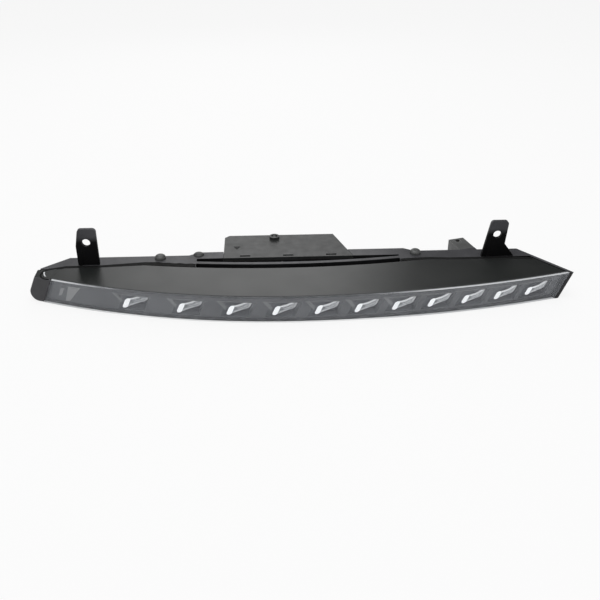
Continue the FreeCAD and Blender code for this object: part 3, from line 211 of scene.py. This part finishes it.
# clear strip: hazy see-through faces, and cut edges painted lighter towards both ends, a painted highlight
def clearStrip(name, look):
    mat, tree, shader, place = startMaterial(name)
    spot = place.outputs["Object"]
    surface = tree.nodes.new("ShaderNodeNewGeometry")
    upright = addParts(tree, surface.outputs["Normal"])[2]
    cut = addRange(tree, upright, 0.0, 1.0, *look["upright"])
    along = addParts(tree, spot)[0]
    left = addRange(tree, along, 1.0, 0.0, look["midLeft"] - look["fade"], look["midLeft"])
    right = addRange(tree, along, 0.0, 1.0, look["midRight"], look["midRight"] + look["fade"])
    ends = addMath(tree, "MAXIMUM", left, right)
    lit = addMath(tree, "MULTIPLY", cut, ends)
    haze = addNoise(tree, spot, look["haze"], 3.0)
    tone = addRamp(tree, lit, [(0.0, look["face"]), (1.0, look["cutHighlight"])])
    tree.links.new(tone, shader.inputs["Base Color"])
    thin = addRange(tree, haze, *look["faceAlpha"])
    tree.links.new(addMath(tree, "MAXIMUM", thin, addMath(tree, "MULTIPLY", lit, look["cutAlpha"])),
                   shader.inputs["Alpha"])
    gloss = addRange(tree, addNoise(tree, spot, look["smudge"], 4.0), *look["rough"])
    tree.links.new(gloss, shader.inputs["Roughness"])
    addBump(tree, shader, addNoise(tree, spot, look["ripple"], 2.0), look["depth"], look["bite"])
    shader.inputs["IOR"].default_value = look["ior"]
    shader.inputs["Specular IOR Level"].default_value = look["shine"]
    return mat


finish["clear_lens"] = clearStrip("clear_lens", lensLook)

sealLook = dict(start=-0.203, stop=-0.194, grey=(0.075, 0.08, 0.085), black=(0.040, 0.042, 0.044),
                smudge=240, rough=(0.6, 0.8), grain=1400, depth=0.00006, bite=0.3)


# gasket behind the lens: black, with a grey lip where it closes the left end
def gasket(name, look):
    mat, tree, shader, place = startMaterial(name)
    spot = place.outputs["Object"]
    along = addRange(tree, addParts(tree, spot)[0], 0.0, 1.0, look["start"], look["stop"])
    tone = addRamp(tree, along, [(0.0, look["grey"]), (1.0, look["black"])])
    tree.links.new(tone, shader.inputs["Base Color"])
    gloss = addRange(tree, addNoise(tree, spot, look["smudge"], 4.0), *look["rough"])
    tree.links.new(gloss, shader.inputs["Roughness"])
    addBump(tree, shader, addNoise(tree, spot, look["grain"], 3.0), look["depth"], look["bite"])
    return mat


lensGasket = gasket("lens_gasket", sealLook)

# stations hold share of the run, width, height and lift; ridges hold start, stop and level
guideLook = dict(count=11, shrink=0.14, chamfer=0.0011, run=(0.01544, 0.00875), near=0.00002,
                 stations=[(0.0, 0.94, 0.98, 0.0), (0.03, 1.06, 1.06, 0.0), (0.12, 0.92, 0.94, 0.0),
                           (0.5, 0.84, 0.86, 0.0), (0.74, 0.88, 0.90, 0.0004), (0.86, 0.94, 1.06, 0.0010),
                           (0.95, 0.94, 1.18, 0.0014), (0.995, 0.86, 1.14, 0.0015)],
                 ridges=[(0.16, 0.60, -0.45), (0.30, 0.78, 0.0), (0.22, 0.52, 0.42)],
                 ridge=0.00022, ridgeAt=0.86,
                 flange=dict(shift=(-0.0025, 0.001), half=(0.006, 0.0075), slant=0.00334, wall=0.00075),
                 tint=(0.80, 0.83, 0.86), shade=0.82, bodyAlpha=(0.10, 0.50), ribs=2400, wobble=1.2,
                 patch=300, smudge=500, rough=(0.06, 0.14), shine=0.9)


# clear bar with fine moulded ribs across it
def clearGuide(name, look):
    mat, tree, shader, place = startMaterial(name)
    spot = place.outputs["Object"]
    ribs = tree.nodes.new("ShaderNodeTexWave")
    ribs.inputs["Scale"].default_value = look["ribs"] / (2 * math.pi)
    ribs.inputs["Distortion"].default_value = look["wobble"]
    tree.links.new(spot, ribs.inputs["Vector"])
    thick = addRange(tree, ribs.outputs["Fac"], *look["bodyAlpha"], 0.0, 1.0)
    tree.links.new(thick, shader.inputs["Alpha"])
    shade = [look["shade"] * c for c in look["tint"]]
    tone = addRamp(tree, addNoise(tree, spot, look["patch"]), [(0.3, shade), (0.7, look["tint"])])
    tree.links.new(tone, shader.inputs["Base Color"])
    gloss = addRange(tree, addNoise(tree, spot, look["smudge"]), *look["rough"])
    tree.links.new(gloss, shader.inputs["Roughness"])
    shader.inputs["Specular IOR Level"].default_value = look["shine"]
    return mat


# each kind has its painted glow and its alpha
glowEndLook = dict(grain=900, dark=(0.84, 0.86, 0.88), light=(0.93, 0.94, 0.95), rough=(0.35, 0.55),
                 depth=0.00005, bite=0.2, line=(0.42, 0.95), front=(0.64, 1.0), tail=(0.24, 0.7),
                 rim=(0.22, 0.7))


# frosted end or edge of a guide, made to glow: a painted highlight for its glints, with no lamp inside
def paintedGlowEnd(kind, look):
    mat, tree, shader, place = startMaterial("guide_" + kind)
    frost = addNoise(tree, place.outputs["Object"], look["grain"], 3.0)
    tone = addRamp(tree, frost, [(0.3, look["dark"]), (0.7, look["light"])])
    tree.links.new(tone, shader.inputs["Base Color"])
    tree.links.new(tone, shader.inputs["Emission Color"])
    tree.links.new(addRange(tree, frost, *look["rough"]), shader.inputs["Roughness"])
    addBump(tree, shader, frost, look["depth"], look["bite"])
    shader.inputs["Emission Strength"].default_value, shader.inputs["Alpha"].default_value = look[kind]
    return mat


# in a guide 0 is the body, 1 line, 2 front, 3 tail, 4 rim and 5 the flange
guideFinishes = [clearGuide("guide_body", guideLook)]
guideFinishes += [paintedGlowEnd(kind, glowEndLook) for kind in ("line", "front", "tail", "rim")]
guideFinishes.append(finish["grey_bezel"])
print("clear finishes made")


# angles in degrees, the rest in metres
edgeLook = dict(weld=0.000002, seamAngle=0.6, sharpAngle=35, steps=2,
                widths={"housing": 0.0004, "top_panel": 0.0003, "lens": 0.0004, "end_cap": 0.0008,
                        "bezel": 0.0002, "driver_cover": 0.0003, "connector_socket": 0.0003,
                        "vent_plug": 0.0003})


# moulded edges are never sharp: join the facets, drop the flat seams, then round
def softenEdges(obj, look, width, highlightSlot):
    obj.data.shade_smooth()
    weld = obj.modifiers.new("weld", "WELD")
    weld.merge_threshold = look["weld"]
    seams = obj.modifiers.new("seams", "DECIMATE")
    seams.decimate_type = "DISSOLVE"
    seams.angle_limit = math.radians(look["seamAngle"])
    seams.delimit = {"MATERIAL"}
    bevel = obj.modifiers.new("bevel", "BEVEL")
    bevel.width = width
    bevel.segments = look["steps"]
    bevel.limit_method = "ANGLE"
    bevel.angle_limit = math.radians(look["sharpAngle"])
    # the rounds take the paler edge finish, a painted highlight
    bevel.material = highlightSlot
    normals = obj.modifiers.new("normals", "WEIGHTED_NORMAL")
    normals.keep_sharp = True


dressLook = dict(capTop=0.95, tabLevel=-0.0205)  # how level the cap's top is, and where the tabs begin

for name, obj in nodes.items():
    slot = slotOf[name]
    obj.data.materials.clear()
    if slot == "clear_optic":
        obj.data.materials.append(guideFinishes[0])
        continue
    obj.data.materials.append(lensGasket if name == "lens_seal" else finish[slot])
    if slot in edgeHighlightFinish:
        obj.data.materials.append(edgeHighlightFinish[slot])
    if name == "end_cap":  # its top continues the panel
        obj.data.materials.append(finish["satin_panel"])
        for poly in obj.data.polygons:
            if poly.normal.z > dressLook["capTop"]:
                poly.material_index = 2
    if name == "housing":  # the fixing tabs are duller than the tray, and painted dark low down as painted shade
        obj.data.materials.append(finish["tab_moulding_painted_shade"])
        for poly in obj.data.polygons:
            if poly.center.z > dressLook["tabLevel"]:
                poly.material_index = 2
    if name in edgeLook["widths"]:
        softenEdges(obj, edgeLook, edgeLook["widths"][name], 1 if slot in edgeHighlightFinish else -1)
print("nodes dressed")


# takes a finished bmesh, makes a piece of it and lets it ride on the lamp
def addPiece(name, bm, mats):
    bmesh.ops.recalc_face_normals(bm, faces=bm.faces)
    mesh = bpy.data.meshes.new(name)
    bm.to_mesh(mesh)
    bm.free()
    for mat in mats:
        mesh.materials.append(mat)
    piece = bpy.data.objects.new(name, mesh)
    bpy.context.scene.collection.objects.link(piece)
    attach(piece, "root")
    return piece


# closed skin over a list of rings that all have the same number of points
def skinRings(bm, rings, sideSlot=None, capSlots=(0, 0)):
    made = [[bm.verts.new(p) for p in ring] for ring in rings]
    for step, (a, b) in enumerate(zip(made, made[1:])):
        for i in range(len(a)):
            j = (i + 1) % len(a)
            face = bm.faces.new((a[i], a[j], b[j], b[i]))
            face.material_index = sideSlot(step, i) if sideSlot else 0
    for ring, slot in zip((made[0], made[-1]), capSlots):
        bm.faces.new(ring).material_index = slot


# chamfered bar from the front end back to its flange, in place of the plain one
def lightGuide(number, look):
    node = f"optic_{number:02d}"
    spots = [v.co for v in nodes[node].data.vertices]
    front = min(v.y for v in spots)
    face = sorted({(round(v.z, 5), round(v.x, 5)) for v in spots if v.y < front + look["near"]})
    (z0, a), (z0, b), (z1, c), (z1, d) = face[0], face[1], face[-2], face[-1]
    middle, half = ((a + b + c + d) / 4, (z0 + z1) / 2), ((b - a) / 2, (z1 - z0) / 2)
    slant = (c + d - a - b) / 4
    cut = look["chamfer"]
    rings = []
    size = 1.0 - look["shrink"] * (number - 1) / (look["count"] - 1)
    for along, wide, tall, lift in look["stations"]:
        w, h = half[0] * wide * size, half[1] * tall * size
        corner = [(w - cut, -h), (w, -h + cut), (w, h - cut), (w - cut, h),
                  (cut - w, h), (-w, h - cut), (-w, cut - h), (cut - w, -h)]
        rings.append([(middle[0] + along * look["run"][0] + x + slant * (z + lift) / half[1],
                       front + along * look["run"][1], middle[1] + z + lift) for x, z in corner])
    slots = (4, 0, 1, 4, 4, 0, 4, 0)  # chamfers take the glowing rim finish, a painted highlight, the flats stay clear
    tail = len(rings) - 3

    def sideSlot(step, i):
        if step == 0:
            return 2
        return 3 if step >= tail and i != 2 else slots[i]

    bm = bmesh.new()
    skinRings(bm, rings, sideSlot, (2, 3))
    # three raised lines on the right flat, in the glowing rim finish: painted glints
    r = look["ridge"]
    for start, stop, level in look["ridges"]:
        line = []
        for along in (start, stop):
            x = middle[0] + along * look["run"][0] + half[0] * look["ridgeAt"] * size
            y, z = front + along * look["run"][1], level * half[1]
            line.append([(x + sx * r + slant * (z + sz * r) / half[1], y, middle[1] + z + sz * r)
                         for sx, sz in ((-2, -1), (1, -1), (1, 1), (-2, 1))])
        skinRings(bm, line, lambda step, i: 4, (4, 4))
    flange = look["flange"]
    x, z = middle[0] + look["run"][0] + flange["shift"][0], middle[1] + flange["shift"][1]
    (fw, fh), lean, y = flange["half"], flange["slant"], front + look["run"][1]
    square = ((-1, -1), (1, -1), (1, 1), (-1, 1))
    plate = [[(x + sx * fw + sz * lean, y + back, z + sz * fh) for sx, sz in square]
             for back in (look["near"], flange["wall"])]
    skinRings(bm, plate, lambda step, i: 5, (5, 5))
    piece = addPiece(f"light_guide_{number:02d}", bm, guideFinishes)
    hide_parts(node)


for number in range(1, guideLook["count"] + 1):
    lightGuide(number, guideLook)
print("light guides made")

bowLook = dict(reach=0.0662, left=0.541, right=0.857, bezelFront=0.00375)


# the bowed front in plan, set back by a depth
def bowY(x, depth):
    radius = bowLook["left"] if x < 0 else bowLook["right"]
    return radius - bowLook["reach"] - math.sqrt((radius - depth) ** 2 - x * x)


# thin raised plate on the front of the bezel, through corners given as (x, z)
def bezelPlate(bm, corners, look):
    rings = [[(x, bowY(x, bowLook["bezelFront"] - lift), z) for x, z in corners]
             for lift in (-look["sink"], look["proud"])]
    skinRings(bm, rings)


# flare and edge are set off from the left side of each guide
facetHighlightLook = dict(proud=0.0003, sink=0.0001, lastFlare=7,
                 ends=[[(-0.1925, -0.0405), (-0.1883, -0.0400), (-0.1775, -0.0260), (-0.1880, -0.0265)],
                       [(-0.1980, -0.0365), (-0.1954, -0.0360), (-0.1917, -0.0288), (-0.1953, -0.0295)]],
                 flare=[(0.0, -0.0343), (0.0014, -0.0318), (-0.0034, -0.0260), (-0.0070, -0.0260)],
                 edge=[(-0.0060, -0.0268), (0.0200, -0.0268), (0.0200, -0.0263), (-0.0060, -0.0263)],
                 tone=dict(surfaces["grey_bezel"], dark=(0.29, 0.298, 0.296), light=(0.36, 0.368, 0.366)),
                 flareHighlightTone=dict(surfaces["grey_bezel"], dark=(0.17, 0.176, 0.176),
                                light=(0.21, 0.216, 0.216)))


# painted highlights on the bezel: two lighter slanted facets at its left end, a lighter edge above each
# guide, a lighter flare beside the first ones
def bezelHighlights(look):
    bm = bmesh.new()
    for corners in look["ends"]:
        bezelPlate(bm, corners, look)
    addPiece("bezel_highlight_facets", bm, [grainedSurface("bezel_painted_highlight", look["tone"])])
    bm = bmesh.new()
    for number in range(1, guideLook["count"] + 1):
        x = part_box(f"optic_{number:02d}")[0].x
        for shape in [look["edge"], look["flare"]] if number <= look["lastFlare"] else [look["edge"]]:
            bezelPlate(bm, [(x + dx, z) for dx, z in shape], look)
    addPiece("duct_highlight_flares", bm, [grainedSurface("duct_painted_highlight", look["flareHighlightTone"])])


bezelHighlights(facetHighlightLook)

markLook = dict(place=(-0.0496, 0.0256), across=0.0058, length=0.0058, level=-0.021, proud=0.0003,
                sink=0.0001, shoulder=0.6, top=0.9)


# three-sided moulding mark on the cover
def mouldingMark(look):
    x, y = look["place"]
    w, l = look["across"] / 2, look["length"] / 2
    rings = [[(x + s * a, y + s * b, look["level"] + lift) for a, b in ((-w, l), (0, -l), (w, l))]
             for s, lift in ((1.0, -look["sink"]), (1.0, look["proud"] * look["shoulder"]),
                             (look["top"], look["proud"]))]
    bm = bmesh.new()
    skinRings(bm, rings)
    addPiece("moulding_mark", bm, [finish["black_rubber"]])


mouldingMark(markLook)

domeLook = dict(place=(-0.0827, 0.0140), half=0.0048, tall=0.0022, level=-0.021, sink=0.0002, arc=82,
                steps=6, round=28)


# low moulded dome where the rim steps back beside the bay
def rimDome(look):
    x, y = look["place"]
    base = look["level"] - look["sink"]
    angles = [k * 2 * math.pi / look["round"] for k in range(look["round"])]
    rings = []
    for step in range(look["steps"] + 1):
        turn = step / look["steps"] * math.radians(look["arc"])
        reach, lift = look["half"] * math.cos(turn), look["tall"] * math.sin(turn)
        rings.append([(x + reach * math.cos(a), y + reach * math.sin(a), base + lift) for a in angles])
    bm = bmesh.new()
    skinRings(bm, rings)
    dome = addPiece("rim_dome", bm, [finish["black_cover"]])
    dome.data.shade_smooth()


rimDome(domeLook)

lugLook = dict(place=(0.1546, 0.015228), turn=15.5, across=0.0062, front=0.0192, back=0.0206, top=-0.0223,
               low=-0.0242, rake=(0.0002, 0.0006))


# catch for the plug under the top wall of the socket, behind its window
def plugCatch(look):
    c, s = math.cos(math.radians(look["turn"])), math.sin(math.radians(look["turn"]))
    (px, py), w = look["place"], look["across"] / 2
    side = [(look["front"], look["top"]), (look["back"], look["top"]),
            (look["back"] - look["rake"][1], look["low"]), (look["front"] + look["rake"][0], look["low"])]
    rings = [[(px + x * c - y * s, py + x * s + y * c, z) for y, z in side] for x in (-w, w)]
    bm = bmesh.new()
    skinRings(bm, rings)
    addPiece("plug_catch", bm, [finish["black_connector"]])


plugCatch(lugLook)

hookLook = dict(place=(-0.2092, -0.0172), level=-0.021, sink=0.0001, wide=0.0011, tall=0.0007, taper=0.7,
                line=[(-0.0010, 0.0040), (-0.0006, 0.0012), (0.0004, -0.0016), (0.0016, -0.0032)])


# small clear hook of the lens that shows on top of the left end cap, in the glowing tail finish: a painted
# highlight
def lensHook(look):
    w, h, z = look["wide"] / 2, look["tall"], look["level"] - look["sink"]
    top = w * look["taper"]
    rings = []
    for x, y in look["line"]:
        px, py = look["place"][0] + x, look["place"][1] + y
        rings.append([(px - w, py, z), (px + w, py, z), (px + top, py, z + h), (px - top, py, z + h)])
    bm = bmesh.new()
    skinRings(bm, rings)
    addPiece("lens_hook", bm, [guideFinishes[3]])


lensHook(hookLook)

gapLook = dict(low=(-0.2123, -0.0224, -0.0439), high=(-0.2020, -0.0266, -0.0213), wide=0.0006, deep=0.005)


# filler strip in the joint between the left end cap and the lens
def capJoint(look):
    w, deep = look["wide"] / 2, look["deep"]
    rings = [[(x - w, y, z), (x + w, y, z), (x + w, y + deep, z), (x - w, y + deep, z)]
             for x, y, z in (look["low"], look["high"])]
    bm = bmesh.new()
    skinRings(bm, rings)
    addPiece("cap_joint", bm, [finish["black_cap"]])


capJoint(gapLook)

# behind and half go from their first to their second value over the ramp
# the near-black strip paints the shade in the joint between panel and rim
jointShadeAndTipLook = dict(low=-0.0211, high=-0.0208, step=0.0015, lobe=(0.0004, 0.0098), taper=0.9, near=0.00002,
                frontDepth=0.015,
                tip=dict(middle=(-0.2035, -0.0162), reach=(0.0090, 0.0095), half=(0.0006, 0.0012), steps=9),
                left=dict(span=(-0.1985, -0.0845), ramp=(-0.165, -0.120), behind=(-0.0006, 0.0033),
                          half=(0.0018, 0.0031)),
                right=dict(span=(0.0925, 0.2065), ramp=(0.135, 0.095), behind=(-0.0006, 0.0028),
                           half=(0.0017, 0.0023)),
                bridge=[(-0.2032, -0.0250), (-0.2010, -0.0229), (-0.2010, -0.0070), (-0.2032, -0.0076)],
                bridgeDrop=0.0001,
                tone=dict(surfaces["black_rubber"], dark=(0.003, 0.003, 0.003),
                          light=(0.006, 0.006, 0.006), shine=0.15))


# way of the dark strip along the panel's rear edge as (x, y, half width), wider and lobed towards the
# channels
def jointShadeWay(look, side):
    spots = [v.co for v in nodes["top_panel"].data.vertices]
    top = max(v.z for v in spots)
    rear = sorted((v.x, v.y) for v in spots
                  if v.z > top - look["near"] and v.y > bowY(v.x, look["frontDepth"]))
    (start, stop), (low, high) = side["span"], side["ramp"]
    count = round((stop - start) / look["step"])
    way = []
    for k in range(count + 1):
        x = start + (stop - start) * k / count
        (xa, ya), (xb, yb) = next((a, b) for a, b in zip(rear, rear[1:])
                                  if a[0] <= x <= b[0] and b[0] > a[0])
        edge = ya + (yb - ya) * (x - xa) / (xb - xa)
        t = min(max((x - low) / (high - low), 0.0), 1.0)
        wave = look["lobe"][0] * math.cos(2 * math.pi * x / look["lobe"][1]) if t == 1.0 else 0.0
        shift, half = [a + (b - a) * t for a, b in (side["behind"], side["half"])]
        way.append((x, edge + shift, half + wave))
    return way


# near-black strip in the joint between the panel and the rim, painted shade of the gap there, and the
# panel's tip over the end cap
def panelJointShadeAndTip(look):
    tip = look["tip"]
    turn = []
    for k in range(tip["steps"] + 1):
        angle = math.pi * (1.5 - k / tip["steps"])
        half = tip["half"][0] + (tip["half"][1] - tip["half"][0]) * k / tip["steps"]
        turn.append((tip["middle"][0] + tip["reach"][0] * math.cos(angle),
                     tip["middle"][1] + tip["reach"][1] * math.sin(angle), half))
    bm = bmesh.new()
    for way in (turn + jointShadeWay(look, look["left"]), jointShadeWay(look, look["right"])):
        rings = []
        for k, (x, y, half) in enumerate(way):
            before, after = way[max(k - 1, 0)], way[min(k + 1, len(way) - 1)]
            along = Vector((after[0] - before[0], after[1] - before[1])).normalized()
            nx, ny = -along.y * half, along.x * half
            tx, ty = nx * look["taper"], ny * look["taper"]
            rings.append([(x - nx, y - ny, look["low"]), (x + nx, y + ny, look["low"]),
                          (x + tx, y + ty, look["high"]), (x - tx, y - ty, look["high"])])
        skinRings(bm, rings)
    addPiece("panel_joint_shade", bm, [grainedSurface("joint_painted_shade", look["tone"])])
    bm = bmesh.new()
    skinRings(bm, [[(x, y, z) for x, y in look["bridge"]]
                   for z in (look["low"], look["high"] - look["bridgeDrop"])])
    addPiece("panel_tip", bm, [finish["satin_panel"]])


panelJointShadeAndTip(jointShadeAndTipLook)
print("small details made")

floorLook = dict(level=cadBox[0].z - 0.0003, half=40.0, tone=(0.92, 0.92, 0.92), lift=0.82,
                 patch=3.0, paler=1.01, rough=0.9)


# 1 for the rays that see the background straight, in gloss or through clear pieces
def addSeen(tree):
    ray = tree.nodes.new("ShaderNodeLightPath")
    seen = addMath(tree, "MAXIMUM", ray.outputs["Is Camera Ray"], ray.outputs["Is Glossy Ray"])
    return addMath(tree, "MAXIMUM", seen, ray.outputs["Is Transmission Ray"])


# pale floor: camera rays see it lifted to white, and the shadow stays on it
def paleFloor(look):
    mesh = bpy.data.meshes.new("floor")
    h, z = look["half"], look["level"]
    mesh.from_pydata([(-h, -h, z), (h, -h, z), (h, h, z), (-h, h, z)], [], [(0, 1, 2, 3)])
    floor = bpy.data.objects.new("floor", mesh)
    bpy.context.scene.collection.objects.link(floor)
    mat, tree, shader, place = startMaterial("pale_floor")
    tone = addRamp(tree, addNoise(tree, place.outputs["Object"], look["patch"]),
                   [(0.3, look["tone"]), (0.7, [c * look["paler"] for c in look["tone"]])])
    tree.links.new(tone, shader.inputs["Base Color"])
    shader.inputs["Roughness"].default_value = look["rough"]
    shader.inputs["Specular IOR Level"].default_value = 0.0
    glow = tree.nodes.new("ShaderNodeEmission")
    mix = tree.nodes.new("ShaderNodeMixShader")
    tree.links.new(addMath(tree, "MULTIPLY", addSeen(tree), look["lift"]), mix.inputs["Fac"])
    tree.links.new(shader.outputs["BSDF"], mix.inputs[1])
    tree.links.new(glow.outputs["Emission"], mix.inputs[2])
    tree.links.new(mix.outputs["Shader"], tree.nodes["Material Output"].inputs["Surface"])
    mesh.materials.append(mat)


paleFloor(floorLook)

studioLook = dict(worldLevel=0.55, flags=[dict(left=0.19, right=1.3), dict(left=-1.4, right=-0.38)],
                  flagY=0.62, flagLow=-0.02, flagHigh=0.9)
lamps = [
    dict(name="top_softbox", place=(-0.10, -0.15, 1.25), aim=(0.0, -0.02, 0.0), size=(1.3, 0.9), power=7.0),
    dict(name="back_softbox", place=(-0.06, 0.85, 0.48), aim=(0.0, -0.02, -0.02), size=(0.50, 0.55),
         power=0.68),
]


# white surroundings, which light the lamp a little less than they show, and two softboxes
def studio(look, lampList):
    world = bpy.data.worlds.new("studio")
    bpy.context.scene.world = world
    world.use_nodes = True
    tree = world.node_tree
    back = tree.nodes["Background"]
    back.inputs["Color"].default_value = (1, 1, 1, 1)
    level = addRange(tree, addSeen(tree), look["worldLevel"], 1.0, 0.0, 1.0)
    tree.links.new(level, back.inputs["Strength"])
    for lamp in lampList:
        data = bpy.data.lights.new(lamp["name"], "AREA")
        data.shape = "RECTANGLE"
        data.size, data.size_y = lamp["size"]
        data.energy = lamp["power"]
        obj = bpy.data.objects.new(lamp["name"], data)
        bpy.context.scene.collection.objects.link(obj)
        obj.location = lamp["place"]
        way = Vector(lamp["aim"]) - Vector(lamp["place"])
        obj.rotation_euler = way.to_track_quat("-Z", "Y").to_euler()
        obj.visible_camera = False
    # black flags behind both ends, which only show in gloss
    y, z0, z1 = look["flagY"], look["flagLow"], look["flagHigh"]
    for number, side in enumerate(look["flags"], start=1):
        a, b = side["left"], side["right"]
        mesh = bpy.data.meshes.new(f"black_flag_{number}")
        mesh.from_pydata([(a, y, z0), (b, y, z0), (b, y, z1), (a, y, z1)], [], [(0, 1, 2, 3)])
        flag = bpy.data.objects.new(f"black_flag_{number}", mesh)
        bpy.context.scene.collection.objects.link(flag)
        mesh.materials.append(finish["black_rubber"])
        flag.visible_camera = flag.visible_diffuse = flag.visible_shadow = flag.visible_transmission = False


studio(studioLook, lamps)

cameraLook = dict(place=(-0.0242, -0.6158, 0.2948), turn=(60.0, 0.0, -2.74), lens=48.0, sensor=36.0,
                  clip=(0.01, 50.0))
camData = bpy.data.cameras.new("camera")
camData.lens, camData.sensor_width = cameraLook["lens"], cameraLook["sensor"]
camData.clip_start, camData.clip_end = cameraLook["clip"]
camera = bpy.data.objects.new("camera", camData)
bpy.context.scene.collection.objects.link(camera)
camera.location = cameraLook["place"]
camera.rotation_euler = [math.radians(a) for a in cameraLook["turn"]]
bpy.context.scene.camera = camera
bpy.context.scene.view_settings.view_transform = "Standard"
print("studio and camera set")
